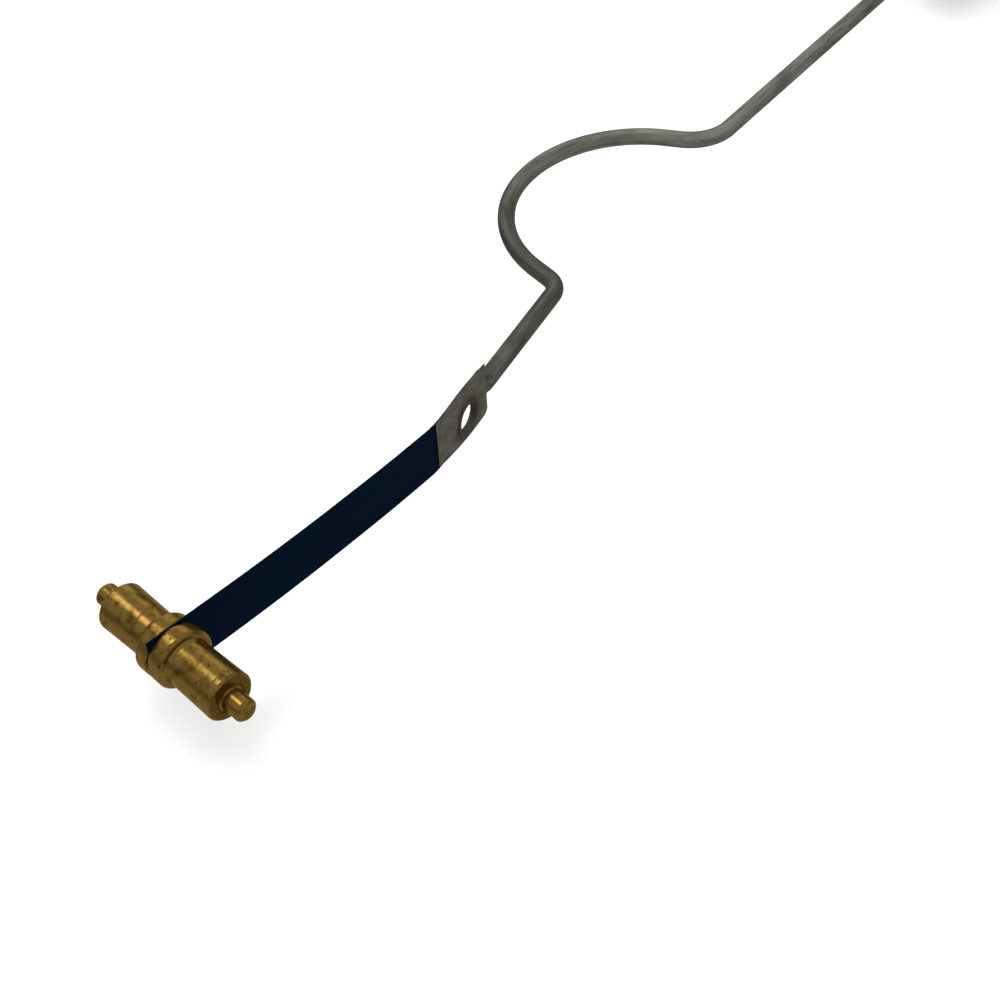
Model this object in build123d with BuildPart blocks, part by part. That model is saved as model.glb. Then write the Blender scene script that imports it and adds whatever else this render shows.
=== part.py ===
from build123d import *
from math import cos, radians, sin
import os

# Flame sensor probe, millimetres.
# Origin: on the rod's axis, in the front face of the mounting flange.
# +X runs along the straight rod towards the terminal, the sensing head is at -X,
# the rod is bent in the XY plane, and +Z is across the width of the sensing leaf.

# ---------------------------------------------------------------- driving dimensions
rod_d = 2.0                     # heat-resistant steel rod

# the bow in the rod, and the two kinks that lead in and out of it
bow_centre = (-100.1, -0.8)
bow_r = 15.35
bow_start_angle = 165.0         # where the bow leaves the near kink
bow_sweep = -142.0
near_kink_lead = 4.2            # straight between the near kink and the bow
near_kink_r = 2.8
near_angle = 9.6                # heading of the rod between the tab and the near kink
far_kink_r = 5.5
near_run = 17.8                 # from the near kink to the tab's edge
rod_tail_x = 44.0               # blind end of the rod inside the terminal stud

# the flattened end of the rod, behind the tab
neck_len = 1.0
neck_w = 3.0
neck_overlap = 0.1              # paddle's reach into the neck
paddle_t = 0.25
paddle_w = 5.4
paddle_drop = 0.35             # paddle sits this much below the rod's axis
paddle_len = 8.8
paddle_corner = 1.0
paddle_shoulder = 1.2           # length over which the neck widens into the paddle

# sensing leaf
leaf_t = 0.20
leaf_w = 6.2
leaf_overrun = 2.5              # leaf beyond the head's axis
leaf_corner_cut = 1.1           # off the lower corner beyond the head
head_centre = (-178.0, -2.8)
leaf_corner_1 = (-164.5, -4.5)
leaf_corner_2 = (-151.0, -5.5)
leaf_radii = (300.0, 180.0, 12.0)
leaf_end_gap = 1.2              # leaf's end short of the tab's edge
tab_mouth_gap = 0.25            # leaf's last bend, clear of the tab's other edge

# tab and eyelet
tab_len = 10.25
tab_t = 0.15
tab_rod_end = (-3.15, 3.5)      # upper and lower corner beside the rod, measured downwards
tab_leaf_end = (-3.2, 2.7)      # and at the tab's other end
tab_crown = 0.42                # bulge of both long edges
tab_corner = 0.9
eyelet_from_edge = 4.1
eyelet_drop = 1.0
eyelet_bore_r = 1.60
eyelet_tube_r = 1.75
eyelet_rim_r = 2.05
eyelet_rim_t = 0.10
eyelet_flare = 0.05
rivet_clearance = 0.02

# brass cross-head, measured along its axis from the middle of the leaf
stub_r = 1.18
pin_half = 10.45
pin_core_r = 1.45               # inside the bushes the pin is thicker than its stubs
stub_chamfer = 0.25
centre_mark_r = 0.3
drum_end = 8.15
drum_r = 2.54                   # at the bush's outer end
waist_r = 2.40                  # beside the collar
collar_r = 3.10
collar_end = 1.85
collar_cove = 0.45
cove_bulge = 0.12
edge_round = 0.35

# mounting end, along X
gasket_t = 1.5
flange_t = 2.0
flange_r = 10.0
flange_ear_r = 5.0
hole_spacing = 34.0
hole_r = 2.25
nose_r = 4.5
nose_front = -28.0
nose_hole_r = 4.8
nose_chamfer = 1.0
seat_t = 0.5
seat_clearance = 0.2
shoulder_r = 7.0
shoulder_len = 6.0
shoulder_round = 0.8
spring_t = 0.5
spring_clearance = 0.4
body_r = 5.0
body_end = 32.0
body_chamfer = 1.2
rib_start_gap = 2.5             # first groove beyond the retainer cup
rib_count = 3
rib_pitch = 4.2
rib_w = 1.8
rib_depth = 0.8
insulator_bore_r = 1.35
cement_len = 3.0
cement_r = 2.2

# retainer cup and its rivets
cup_t = 0.8
cup_gap = 0.2
cup_hole_r = 5.6
cup_ear_r = 3.2
cup_foot = 0.8                  # foot's width round the cup's wall
rivet_spacing = 22.0
rivet_r = 1.0
rivet_head_r = 1.9
rivet_head_t = 0.6
rivet_head_taper = 30

# terminal
stud_collar_r = 3.4
stud_collar_len = 2.0
stud_r = 1.95
stud_end = 50.0
stud_chamfer = 0.5
nut_flats = 7.0
nut_t = 3.2
washer_r = 4.5
washer_t = 0.8
washer_gap = 0.02
thread_clearance = 0.05
thumb_r = 4.6
thumb_len = 3.6
thumb_boss_r = 3.2
thumb_boss_len = 1.0
thumb_chamfer = 0.4


def heading(angle):
    """Unit vector in the XY plane."""
    return Vector(cos(radians(angle)), sin(radians(angle)), 0)


def save(piece, name):
    """Label one finished piece and write its STEP file."""
    piece.part.label = name
    export_step(piece.part, f"parts/{name}.step")


os.makedirs("parts", exist_ok=True)

# ---------------------------------------------------------------- reference points
bow_middle = Vector(*bow_centre)
bow_start = bow_middle + heading(bow_start_angle) * bow_r
bow_end_angle = bow_start_angle + bow_sweep
bow_end = bow_middle + heading(bow_end_angle) * bow_r
near_kink = bow_start - heading(bow_start_angle - 90) * near_kink_lead
far_heading = heading(bow_end_angle - 90)
far_kink = bow_end + far_heading * (-bow_end.Y / far_heading.Y)

near_dir = heading(near_angle)
near_normal = heading(near_angle + 90)
tab_edge = near_kink - near_dir * near_run
eyelet_point = tab_edge - near_dir * eyelet_from_edge - Vector(0, 0, eyelet_drop)

# the stack at the eyelet, from the back of the paddle to the face of the tab
paddle_face = -paddle_t / 2
leaf_mid = paddle_face - leaf_t / 2
leaf_face = paddle_face - leaf_t
tab_face = leaf_face - tab_t

head = Vector(*head_centre)
head_dir = (Vector(*leaf_corner_1) - head).normalized()
head_axis = Vector(-head_dir.Y, head_dir.X, 0)

# plane of the flattened end: x along the rod, y downwards, its normal away from the tab
paddle_plane = Plane(origin=tab_edge, x_dir=near_dir, z_dir=near_normal)
eyelet_plane = Plane(origin=eyelet_point, x_dir=near_dir, z_dir=near_normal)
# plane through the eyelet's axis, for its turned profile: x along the axis
eyelet_profile = Plane(origin=eyelet_point, x_dir=near_normal, z_dir=near_dir)
# plane through the head's axis, for turned profiles: x along the axis, y upwards
head_plane = Plane(origin=head, x_dir=head_axis, z_dir=head_axis.cross(Vector(0, 0, 1)))
head_line = Axis(head, head_axis)
# plane through the rod's axis, for the turned profiles of the mounting end
turning_plane = Plane(origin=(0, 0, 0), x_dir=(1, 0, 0), z_dir=(0, -1, 0))

# ---------------------------------------------------------------- sensing head
with BuildPart() as cross_pin:
    with BuildSketch(head_plane):
        with BuildLine():
            Polyline(
                (-pin_half, 0),
                (-pin_half, stub_r - stub_chamfer),
                (stub_chamfer - pin_half, stub_r),
                (-drum_end, stub_r),
                (-drum_end, pin_core_r),
                (drum_end, pin_core_r),
                (drum_end, stub_r),
                (pin_half - stub_chamfer, stub_r),
                (pin_half, stub_r - stub_chamfer),
                (pin_half, 0),
                close=True,
            )
        make_face()
    revolve(axis=head_line)
    # centre marks left by the lathe in both ends
    with Locations(head - head_axis * pin_half, head + head_axis * pin_half):
        Sphere(centre_mark_r, mode=Mode.SUBTRACT)
save(cross_pin, "cross_pin")


# each bush is turned with a collar against the leaf, a cove, and a drum that widens a little outwards
for name, side in (("near_bush", -1), ("far_bush", 1)):
    inner = leaf_t / 2
    bore = pin_core_r + rivet_clearance
    cove_end = collar_end + collar_cove
    with BuildPart() as bush:
        with BuildSketch(head_plane):
            with BuildLine():
                cove_line = ThreePointArc(
                    (side * collar_end, collar_r - edge_round),
                    (side * (collar_end + collar_cove / 3), waist_r + cove_bulge),
                    (side * cove_end, waist_r),
                )
                Polyline(
                    cove_line @ 1,
                    (side * (drum_end - edge_round), drum_r),
                    (side * drum_end, drum_r - edge_round),
                    (side * drum_end, bore),
                    (side * inner, bore),
                    (side * inner, collar_r - edge_round),
                    (side * (inner + edge_round), collar_r),
                    (side * (collar_end - edge_round), collar_r),
                    cove_line @ 0,
                )
            make_face()
        revolve(axis=head_line)
    save(bush, name)

# ---------------------------------------------------------------- sensing leaf
leaf_line_end = tab_edge - near_dir * leaf_end_gap + near_normal * leaf_mid
tab_mouth = tab_edge - near_dir * (tab_len + tab_mouth_gap) + near_normal * leaf_mid

with BuildPart() as sensing_leaf:
    with BuildLine() as leaf_line:
        FilletPolyline(
            head - head_dir * leaf_overrun,
            leaf_corner_1,
            leaf_corner_2,
            tab_mouth,
            leaf_line_end,
            radius=leaf_radii,
        )
    with BuildSketch(Plane(origin=leaf_line.line @ 0, x_dir=(0, 0, 1), z_dir=head_dir)):
        Rectangle(leaf_w, leaf_t)
    sweep()
    across_thickness = sensing_leaf.edges().filter_by(head_line)
    chamfer(across_thickness.sort_by(Axis.Z)[0], leaf_corner_cut)
    with BuildSketch(Plane(origin=head - head_axis, z_dir=head_axis)):
        Circle(pin_core_r + rivet_clearance)
    extrude(amount=2, mode=Mode.SUBTRACT)
    with BuildSketch(eyelet_plane.offset(-1)):
        Circle(eyelet_tube_r + rivet_clearance)
    extrude(amount=2, mode=Mode.SUBTRACT)
save(sensing_leaf, "sensing_leaf")

# ---------------------------------------------------------------- tab and eyelet
with BuildPart() as end_tab:
    with BuildSketch(paddle_plane.offset(tab_face)) as tab_outline:
        with BuildLine():
            top = ThreePointArc(
                (-tab_len, tab_leaf_end[0]),
                (-tab_len / 2, (tab_leaf_end[0] + tab_rod_end[0]) / 2 - tab_crown),
                (0, tab_rod_end[0]),
            )
            bottom = ThreePointArc(
                (-tab_len, tab_leaf_end[1]),
                (-tab_len / 2, (tab_leaf_end[1] + tab_rod_end[1]) / 2 + tab_crown),
                (0, tab_rod_end[1]),
            )
            Line(top @ 0, bottom @ 0)
            Line(top @ 1, bottom @ 1)
        make_face()
        # the lower corner beside the rod
        fillet(tab_outline.vertices().sort_by(Axis.X)[-2:].sort_by(Axis.Z)[0], tab_corner)
        with Locations((-eyelet_from_edge, eyelet_drop)):
            Circle(eyelet_tube_r + rivet_clearance, mode=Mode.SUBTRACT)
    extrude(amount=tab_t)
save(end_tab, "end_tab")

with BuildPart() as tab_eyelet:
    front = tab_face - eyelet_rim_t
    back = -paddle_face + eyelet_rim_t
    with BuildSketch(eyelet_profile):
        with BuildLine():
            Polyline(
                (front, eyelet_bore_r + eyelet_flare),
                (front, eyelet_rim_r - eyelet_rim_t / 2),
                (tab_face - eyelet_rim_t / 2, eyelet_rim_r),
                (tab_face, eyelet_rim_r),
                (tab_face, eyelet_tube_r),
                (-paddle_face, eyelet_tube_r),
                (-paddle_face, eyelet_rim_r),
                (back - eyelet_rim_t / 2, eyelet_rim_r),
                (back, eyelet_rim_r - eyelet_rim_t / 2),
                (back, eyelet_bore_r + eyelet_flare),
                (back - eyelet_flare, eyelet_bore_r),
                (front + eyelet_flare, eyelet_bore_r),
                close=True,
            )
        make_face()
    revolve(axis=Axis(eyelet_point, near_normal))
save(tab_eyelet, "tab_eyelet")

# ---------------------------------------------------------------- rod
rod_start = tab_edge + near_dir * neck_len
rod_tail = Vector(rod_tail_x, 0, 0)
paddle_top = paddle_drop - paddle_w / 2
paddle_bottom = paddle_drop + paddle_w / 2

with BuildPart() as electrode_rod:
    with BuildLine() as rod_line:
        FilletPolyline(rod_start, near_kink, bow_start, radius=near_kink_r)
        CenterArc(bow_centre, bow_r, bow_start_angle, bow_sweep)
        FilletPolyline(bow_end, far_kink, rod_tail, radius=far_kink_r)
    with BuildSketch(Plane(origin=rod_start, z_dir=near_dir)):
        Circle(rod_d / 2)
    sweep(path=rod_line.line)
    # hammered neck: round to flat, then the pierced paddle
    with BuildSketch(Plane(origin=rod_start, x_dir=near_normal, z_dir=near_dir)):
        Circle(rod_d / 2)
    with BuildSketch(Plane(origin=tab_edge, x_dir=near_normal, z_dir=near_dir)):
        Ellipse(paddle_t / 2, neck_w / 2)
    loft()
    with BuildSketch(paddle_plane.offset(-paddle_t / 2)):
        with BuildLine():
            Polyline(
                (neck_overlap, -neck_w / 2),
                (-paddle_shoulder, paddle_top),
                (paddle_corner - paddle_len, paddle_top),
                (-paddle_len, paddle_top + paddle_corner),
                (-paddle_len, paddle_bottom - paddle_corner),
                (paddle_corner - paddle_len, paddle_bottom),
                (-paddle_shoulder, paddle_bottom),
                (neck_overlap, neck_w / 2),
                close=True,
            )
        make_face()
        with Locations((-eyelet_from_edge, eyelet_drop)):
            Circle(eyelet_tube_r + rivet_clearance, mode=Mode.SUBTRACT)
    extrude(amount=paddle_t)
save(electrode_rod, "electrode_rod")

# ---------------------------------------------------------------- insulator and cement
shoulder_front = flange_t + seat_t
shoulder_back = shoulder_front + shoulder_len
ribs_start = shoulder_back + spring_t + cup_t + rib_start_gap

with BuildPart() as insulator:
    with BuildSketch(turning_plane) as insulator_half:
        with BuildLine():
            Polyline(
                (nose_front, cement_r),
                (nose_front, nose_r - nose_chamfer),
                (nose_front + nose_chamfer, nose_r),
                (shoulder_front, nose_r),
                (shoulder_front, shoulder_r),
                (shoulder_back, shoulder_r),
                (shoulder_back, body_r),
                (body_end - body_chamfer, body_r),
                (body_end, body_r - body_chamfer),
                (body_end, cement_r),
                (body_end - cement_len, cement_r),
                (body_end - cement_len, insulator_bore_r),
                (nose_front + cement_len, insulator_bore_r),
                (nose_front + cement_len, cement_r),
                close=True,
            )
        make_face()
        for rib in range(rib_count):
            with Locations((ribs_start + rib * rib_pitch + rib_w / 2, body_r)):
                Rectangle(rib_w, 2 * rib_depth, mode=Mode.SUBTRACT)
    revolve(axis=Axis.X)
    # the two rims of the shoulder are the largest circles
    fillet(insulator.edges().filter_by(GeomType.CIRCLE).sort_by(SortBy.RADIUS)[-2:], shoulder_round)
save(insulator, "insulator")

for name, start in (("front_cement", nose_front), ("rear_cement", body_end - cement_len)):
    with BuildPart() as cement:
        with BuildSketch(Plane.YZ.offset(start)):
            Circle(cement_r)
            Circle(rod_d / 2, mode=Mode.SUBTRACT)
        extrude(amount=cement_len)
    save(cement, name)


# ---------------------------------------------------------------- flange and gaskets
def oval(half_r, ear_r, ear_spacing):
    """Lozenge plate outline: a round middle blended into two round ears."""
    with BuildSketch(mode=Mode.PRIVATE) as outline:
        Circle(half_r)
        with Locations((-ear_spacing / 2, 0), (ear_spacing / 2, 0)):
            Circle(ear_r)
        make_hull()
    return outline.sketch


def plate(start, thickness, middle_r, small_holes):
    """Flat oval plate with a central hole and pairs of small ones, as (spacing, radius)."""
    with BuildPart() as flat:
        with BuildSketch(Plane.YZ.offset(start)):
            add(oval(flange_r, flange_ear_r, hole_spacing))
            Circle(middle_r, mode=Mode.SUBTRACT)
            for spacing, small_r in small_holes:
                with Locations((-spacing / 2, 0), (spacing / 2, 0)):
                    Circle(small_r, mode=Mode.SUBTRACT)
        extrude(amount=thickness)
    return flat


fixing_holes = (hole_spacing, hole_r)
rivet_holes = (rivet_spacing, rivet_r + rivet_clearance)
save(plate(-gasket_t, gasket_t, nose_hole_r, [fixing_holes]), "flange_gasket")
save(plate(0, flange_t, nose_hole_r, [fixing_holes, rivet_holes]), "mounting_flange")

with BuildPart() as seat_gasket:
    with BuildSketch(Plane.YZ.offset(flange_t)):
        Circle(shoulder_r - seat_clearance)
        Circle(nose_hole_r, mode=Mode.SUBTRACT)
    extrude(amount=seat_t)
save(seat_gasket, "seat_gasket")

# ---------------------------------------------------------------- retainer
cup_inner_r = shoulder_r + cup_gap
cup_roof = shoulder_back + spring_t

with BuildPart() as retainer_cup:
    with BuildSketch(Plane.YZ.offset(flange_t)):
        add(oval(cup_inner_r + cup_t + cup_foot, cup_ear_r, rivet_spacing))
        with Locations((-rivet_spacing / 2, 0), (rivet_spacing / 2, 0)):
            Circle(rivet_r + rivet_clearance, mode=Mode.SUBTRACT)
    extrude(amount=cup_t)
    with BuildSketch(Plane.YZ.offset(flange_t)):
        Circle(cup_inner_r + cup_t)
    extrude(amount=cup_roof + cup_t - flange_t)
    rim = retainer_cup.edges().filter_by(GeomType.CIRCLE).sort_by(Axis.X)[-1]
    fillet(rim, cup_t)
    with BuildSketch(Plane.YZ.offset(flange_t)):
        Circle(cup_inner_r)
    extrude(amount=cup_roof - flange_t, mode=Mode.SUBTRACT)
    with BuildSketch(Plane.YZ.offset(cup_roof)):
        Circle(cup_hole_r)
    extrude(amount=cup_t, mode=Mode.SUBTRACT)
save(retainer_cup, "retainer_cup")

with BuildPart() as spring_washer:
    with BuildSketch(Plane.YZ.offset(shoulder_back)):
        Circle(shoulder_r - spring_clearance)
        Circle(body_r + spring_clearance, mode=Mode.SUBTRACT)
    extrude(amount=spring_t)
save(spring_washer, "spring_washer")

rivet_places = Locations((-rivet_spacing / 2, 0), (rivet_spacing / 2, 0))
with BuildPart() as retainer_rivets:
    with BuildSketch(Plane.YZ):
        with rivet_places:
            Circle(rivet_r)
    extrude(amount=flange_t + cup_t)
    with BuildSketch(Plane.YZ.offset(flange_t + cup_t)):
        with rivet_places:
            Circle(rivet_head_r)
    extrude(amount=rivet_head_t, taper=rivet_head_taper)
save(retainer_rivets, "retainer_rivets")

# ---------------------------------------------------------------- terminal
thread_start = body_end + stud_collar_len
nut_end = thread_start + nut_t
washer_start = nut_end + washer_gap
washer_end = washer_start + washer_t

with BuildPart() as terminal_stud:
    with BuildSketch(Plane.YZ.offset(body_end)):
        Circle(stud_collar_r)
    extrude(amount=stud_collar_len)
    with BuildSketch(Plane.YZ.offset(thread_start)):
        Circle(stud_r)
    extrude(amount=stud_end - thread_start)
    tip = terminal_stud.edges().filter_by(GeomType.CIRCLE).sort_by(Axis.X)[-1]
    chamfer(tip, stud_chamfer)
    with BuildSketch(Plane.YZ.offset(body_end)):
        Circle(rod_d / 2)
    extrude(amount=rod_tail_x - body_end, mode=Mode.SUBTRACT)
save(terminal_stud, "terminal_stud")

with BuildPart() as terminal_nut:
    with BuildSketch(Plane.YZ.offset(thread_start)):
        RegularPolygon(nut_flats / 2, 6, major_radius=False)
        Circle(stud_r, mode=Mode.SUBTRACT)
    extrude(amount=nut_t)
save(terminal_nut, "terminal_nut")

with BuildPart() as terminal_washer:
    with BuildSketch(Plane.YZ.offset(washer_start)):
        Circle(washer_r)
        Circle(stud_r + thread_clearance, mode=Mode.SUBTRACT)
    extrude(amount=washer_t)
save(terminal_washer, "terminal_washer")

with BuildPart() as thumb_nut:
    with BuildSketch(Plane.YZ.offset(washer_end)):
        Circle(thumb_boss_r)
    extrude(amount=thumb_boss_len)
    with BuildSketch(Plane.YZ.offset(washer_end + thumb_boss_len)):
        Circle(thumb_r)
    extrude(amount=thumb_len)
    crown = thumb_nut.edges().filter_by(GeomType.CIRCLE).sort_by(Axis.X)[-1]
    chamfer(crown, thumb_chamfer)
    with BuildSketch(Plane.YZ.offset(washer_end)):
        Circle(stud_r + thread_clearance)
    extrude(amount=thumb_boss_len + thumb_len, mode=Mode.SUBTRACT)
save(thumb_nut, "thumb_nut")
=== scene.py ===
from math import acos, atan2, ceil, cos, pi, radians, sin, tan

import bmesh
import bpy
import numpy as np
from mathutils import Matrix, Vector, noise


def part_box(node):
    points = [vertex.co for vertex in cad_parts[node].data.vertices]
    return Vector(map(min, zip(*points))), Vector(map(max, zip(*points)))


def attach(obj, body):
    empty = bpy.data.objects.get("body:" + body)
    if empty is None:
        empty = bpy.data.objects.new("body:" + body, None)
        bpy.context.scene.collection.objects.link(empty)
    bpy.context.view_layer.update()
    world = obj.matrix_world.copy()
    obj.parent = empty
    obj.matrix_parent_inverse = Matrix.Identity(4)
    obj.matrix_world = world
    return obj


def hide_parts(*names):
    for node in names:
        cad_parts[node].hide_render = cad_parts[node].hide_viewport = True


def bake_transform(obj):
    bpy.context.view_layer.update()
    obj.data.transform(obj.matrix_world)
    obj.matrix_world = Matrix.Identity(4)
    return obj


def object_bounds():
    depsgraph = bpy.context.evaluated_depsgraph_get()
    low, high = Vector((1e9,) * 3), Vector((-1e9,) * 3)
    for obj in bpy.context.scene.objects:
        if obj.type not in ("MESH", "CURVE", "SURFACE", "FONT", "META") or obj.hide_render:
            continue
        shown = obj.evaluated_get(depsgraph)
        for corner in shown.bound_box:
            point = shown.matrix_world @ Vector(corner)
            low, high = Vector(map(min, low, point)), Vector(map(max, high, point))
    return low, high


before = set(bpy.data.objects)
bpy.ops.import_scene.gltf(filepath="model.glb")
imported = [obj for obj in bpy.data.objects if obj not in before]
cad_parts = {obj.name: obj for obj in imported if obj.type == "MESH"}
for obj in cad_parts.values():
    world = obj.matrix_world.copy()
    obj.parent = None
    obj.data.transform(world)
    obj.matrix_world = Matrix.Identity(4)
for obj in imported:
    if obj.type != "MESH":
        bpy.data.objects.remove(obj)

cad_low, cad_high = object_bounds()

# Shapes are worked out in millimetres and become metres when a mesh is made.
MM = 0.001
UP = np.array([0.0, 0.0, 1.0])


def heading(angle):
    """Unit vector in the XY plane."""
    return np.array([cos(radians(angle)), sin(radians(angle)), 0.0])


def middle(node):
    """Middle of a CAD node's box."""
    low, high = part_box(node)
    return np.array((low + high) / 2) / MM


def span(node):
    """Lowest and highest X of a CAD node."""
    low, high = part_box(node)
    return low.x / MM, high.x / MM


def reach(node):
    """Largest distance of a CAD node from the X axis, for pieces turned about it."""
    low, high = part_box(node)
    return max(high.z, high.y, -low.y) / MM


def longest_way(node):
    """Unit direction in which a CAD node is longest."""
    points = np.array([v.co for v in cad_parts[node].data.vertices])
    direction = np.linalg.svd(points - points.mean(0), full_matrices=False)[2][0]
    return direction / np.linalg.norm(direction)


# ---------------------------------------------------------------- reference lines, as in the CAD model
rod_r = 1.0
bow_centre = np.array([-100.1, -0.8, 0.0])
bow_r = 15.35
bow_start_angle = 165.0
bow_sweep = -142.0
near_kink_lead = 4.2
near_kink_r = 2.8
far_kink_r = 5.5
near_angle = 9.6
near_run = 17.8
rod_tail = np.array([44.0, 0.0, 0.0])

bow_start = bow_centre + heading(bow_start_angle) * bow_r
bow_end_angle = bow_start_angle + bow_sweep
bow_end = bow_centre + heading(bow_end_angle) * bow_r
near_kink = bow_start - heading(bow_start_angle - 90) * near_kink_lead
far_heading = heading(bow_end_angle - 90)
far_kink = bow_end - far_heading * bow_end[1] / far_heading[1]
near_dir = heading(near_angle)
near_normal = heading(near_angle + 90)
tab_edge = near_kink - near_dir * near_run

head = middle("cross_pin")
head_axis = longest_way("cross_pin")
head_axis = head_axis * np.sign(head_axis[1])
head_dir = np.cross(head_axis, UP)
eyelet = middle("tab_eyelet")


# ---------------------------------------------------------------- shape tools
def corner(point, rounding=0):
    """A point of the XY plane as a corner for rounded()."""
    return (point[0], point[1], rounding)


def rounded(corners, closed=False, steps=6):
    """Points of a flat outline through corners (x, y, rounding), each corner an arc of that radius."""
    line = []
    count = len(corners)
    for i, (x, y, rounding) in enumerate(corners):
        here = np.array([x, y], float)
        if rounding == 0 or (not closed and i in (0, count - 1)):
            line.append(here)
            continue
        before = np.array(corners[i - 1][:2]) - here
        after = np.array(corners[(i + 1) % count][:2]) - here
        before = before / np.linalg.norm(before)
        after = after / np.linalg.norm(after)
        half = acos(np.clip(before @ after, -1, 1)) / 2
        centre = here + (before + after) / np.linalg.norm(before + after) * rounding / sin(half)
        first = here + before * rounding / tan(half) - centre
        last = here + after * rounding / tan(half) - centre
        start = atan2(first[1], first[0])
        turn = (atan2(last[1], last[0]) - start + pi) % (2 * pi) - pi
        for step in range(steps + 1):
            angle = start + turn * step / steps
            line.append(centre + rounding * np.array([cos(angle), sin(angle)]))
    return np.array(line)


def divided(line, longest):
    """The same line with points added so that no step is longer than longest."""
    points = [line[0]]
    for start, end in zip(line[:-1], line[1:]):
        pieces = max(1, ceil(np.linalg.norm(end - start) / longest - 1e-6))
        points += [start + (end - start) * k / pieces for k in range(1, pieces + 1)]
    return np.array(points)


def spaced(line, shortest):
    """The same line without the points that are nearer than shortest to the point before."""
    points = [line[0]]
    for point in line[1:]:
        if np.linalg.norm(point - points[-1]) > shortest:
            points.append(point)
    return np.array(points)


def skin(rings, looped=False):
    """Points and quads between neighbouring rings; looped joins the last ring to the first."""
    count, around = rings.shape[:2]
    faces = []
    for i in range(count if looped else count - 1):
        j = (i + 1) % count
        for k in range(around):
            m = (k + 1) % around
            faces.append((i * around + k, i * around + m, j * around + m, j * around + k))
    if not looped:
        faces.append(tuple(range(around)))
        faces.append(tuple(range((count - 1) * around, count * around)))
    return rings.reshape(-1, 3), faces


def new_mesh(name, points, faces, grain=None):
    """A mesh from millimetre points. grain is what a material's pattern follows, also in millimetres."""
    mesh = bpy.data.meshes.new(name)
    mesh.from_pydata((points * MM).tolist(), [], faces)
    if grain is not None:
        attribute = mesh.attributes.new("grain", "FLOAT_VECTOR", "POINT")
        attribute.data.foreach_set("vector", np.asarray(grain, np.float32).ravel())
    work = bmesh.new()
    work.from_mesh(mesh)
    bmesh.ops.recalc_face_normals(work, faces=work.faces)
    work.to_mesh(mesh)
    work.free()
    return mesh


def piece(name, mesh, body, finish, replaces=(), sharp=32):
    """Puts a mesh in the scene as a piece of the object that rides on a body and stands for CAD nodes."""
    slot, material = finish
    made = bpy.data.objects.new(name, mesh)
    bpy.context.scene.collection.objects.link(made)
    mesh.shade_smooth()
    mesh.set_sharp_from_angle(angle=radians(sharp))
    mesh.materials.clear()
    mesh.materials.append(material)
    if body:
        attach(made, body)
    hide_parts(*replaces)
    return made


def turned(
    name, outline, closed=False, origin=(0, 0, 0), axis=(1, 0, 0), around=96, shape=None, offset=None
):
    """Mesh of an outline of points (along, radius) turned about an axis.

    shape(along, radius, angle) gives another radius, and offset(along, radius) a shift off the axis.
    """
    axis = np.array(axis, float)
    side = np.cross(UP, axis)
    rings, grain = [], []
    for along, radius in outline:
        for k in range(around):
            angle = 2 * pi * k / around
            r = shape(along, radius, angle) if shape else radius
            shift = offset(along, radius) if offset else (0, 0)
            across = side * (r * cos(angle) + shift[0]) + UP * (r * sin(angle) + shift[1])
            rings.append(origin + axis * along + across)
            grain.append((along, r, 0))
    points, faces = skin(np.array(rings).reshape(-1, around, 3), looped=closed)
    return new_mesh(name, points, faces, grain)


def cut(mesh, tools):
    """The mesh with closed tool meshes cut out of it."""
    whole = bpy.data.objects.new("whole", mesh)
    bpy.context.scene.collection.objects.link(whole)
    cutters = []
    for tool in tools:
        cutter = bpy.data.objects.new("cutter", tool)
        bpy.context.scene.collection.objects.link(cutter)
        cutters.append(cutter)
        modifier = whole.modifiers.new("cut", "BOOLEAN")
        modifier.operation = "DIFFERENCE"
        modifier.solver = "EXACT"
        modifier.object = cutter
    seen = whole.evaluated_get(bpy.context.evaluated_depsgraph_get())
    result = bpy.data.meshes.new_from_object(seen)
    result.name = mesh.name
    for spare in [whole, *cutters]:
        bpy.data.objects.remove(spare)
    return result


def drill(centre, axis, radius, length, around=64):
    """Closed cylinder mesh about a point, for cutting round holes."""
    ends = np.array([(-length / 2, radius), (length / 2, radius)])
    return turned("drill", ends, origin=centre, axis=axis, around=around)


def eased(node, width):
    """A copy of a CAD node's mesh, welded, with its sharp edges rounded."""
    same_point, flat_angle, sharp_angle = 1e-6, radians(1), radians(35)
    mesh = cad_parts[node].data.copy()
    work = bmesh.new()
    work.from_mesh(mesh)
    bmesh.ops.remove_doubles(work, verts=work.verts, dist=same_point)
    bmesh.ops.dissolve_limit(work, angle_limit=flat_angle, verts=work.verts, edges=work.edges)
    sharp = [e for e in work.edges if len(e.link_faces) == 2 and e.calc_face_angle() > sharp_angle]
    bmesh.ops.bevel(
        work, geom=sharp, offset=width * MM, segments=3, profile=0.5, affect="EDGES", clamp_overlap=True
    )
    bmesh.ops.triangulate(work, faces=[f for f in work.faces if len(f.verts) > 4])
    work.to_mesh(mesh)
    work.free()
    return mesh


def swept(name, route, section, step):
    """Mesh of a section carried along a flat route, with a ring at least every step.

    section(u) gives points (across, up) at length u along the route.
    """
    route = divided(spaced(route, step / 4), step)
    lengths = np.concatenate([[0], np.cumsum(np.linalg.norm(np.diff(route, axis=0), axis=1))])
    ways = np.gradient(route, lengths, axis=0)
    ways = ways / np.linalg.norm(ways, axis=1)[:, None]
    rings, grain = [], []
    for at, way, u in zip(route, ways, lengths):
        left = np.array([-way[1], way[0], 0])
        for across, up in section(u):
            rings.append(np.array([at[0], at[1], 0]) + left * across + UP * up)
            grain.append((u, across, up))
    points, faces = skin(np.array(rings).reshape(len(route), -1, 3))
    return new_mesh(name, points, faces, grain)


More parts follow.
